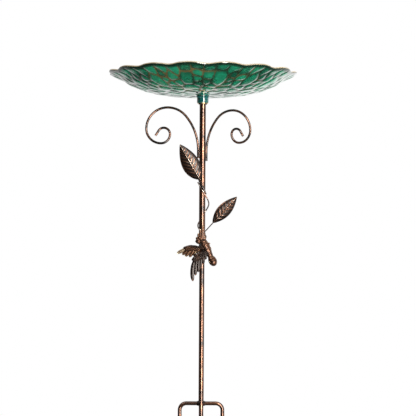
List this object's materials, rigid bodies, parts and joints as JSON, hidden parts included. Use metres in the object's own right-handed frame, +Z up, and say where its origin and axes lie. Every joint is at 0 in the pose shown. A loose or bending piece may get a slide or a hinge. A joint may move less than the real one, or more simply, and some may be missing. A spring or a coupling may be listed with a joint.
{
  "type": "bird feeder on pole",
  "caption": "Shallow scalloped glass feeder dish screwed to a sectional metal garden stake with wire scrolls, stamped leaves, a wound vine and a small cast bird.",
  "frame": {"origin": "on the pole's axis at ground level, where the middle tine starts", "axes": "+Z up the pole, -Y to the front where the bird faces, +X to the right seen from the front"},
  "size_m": [0.2824, 0.2825, 0.6797],
  "materials": {
    "dish_glass": "opaque glossy coated glass",
    "adhesive": "cured clear adhesive",
    "socket_enamel": "glossy teal enamel",
    "brass_insert": "turned",
    "washer_rubber": "moulded",
    "antique_bronze": "dark brown with copper and gold rubbed highlights",
    "plain_steel": "zinc plated",
    "dark_wire": "dark brown",
    "leaf_copper": "dark copper with rubbed veins",
    "bird_copper": "dark copper with gold feather edges"
  },
  "bodies": {
    "stake": {"stake_rod": "antique_bronze", "side_tine_left": "antique_bronze", "side_tine_right": "antique_bronze", "fork_welds": "antique_bronze"},
    "middle_pole": {"middle_tube": "antique_bronze"},
    "upper_pole": {"upper_tube": "antique_bronze", "top_plug": "plain_steel", "top_stud": "plain_steel", "scroll_left": "antique_bronze", "scroll_right": "antique_bronze", "scroll_welds": "antique_bronze", "vine_wire": "dark_wire", "leaf_stem_left": "dark_wire", "leaf_left": "leaf_copper", "leaf_stem_right": "dark_wire", "leaf_right": "leaf_copper", "bird_body": "bird_copper", "bird_beak": "bird_copper", "bird_tail": "bird_copper", "bird_wing_upper": "bird_copper", "bird_wing_lower": "bird_copper"},
    "washer": {"seat_washer": "washer_rubber"},
    "dish": {"dish": "dish_glass", "adhesive_pad": "adhesive", "dish_socket": "socket_enamel", "thread_insert": "brass_insert"}
  },
  "joints": [
    {"name": "middle_pole_pull", "type": "slide", "parent": "stake", "child": "middle_pole", "axis": [0, 0, 1], "range_m": [0, 0.032]},
    {"name": "upper_pole_pull", "type": "slide", "parent": "middle_pole", "child": "upper_pole", "axis": [0, 0, 1], "range_m": [0, 0.04]},
    {"name": "dish_rise", "type": "slide", "parent": "upper_pole", "child": "washer", "axis": [0, 0, 1], "range_m": [0, 0.0091]},
    {"name": "dish_turn", "type": "hinge", "parent": "washer", "child": "dish", "pos_m": [0, 0, 0.45], "axis": [0, 0, 1], "range_deg": [0, 3240]}
  ],
  "couplings": [
    {"joint": "dish_rise", "follows": "dish_turn", "m_per_rad": 0.00015915}
  ]
}
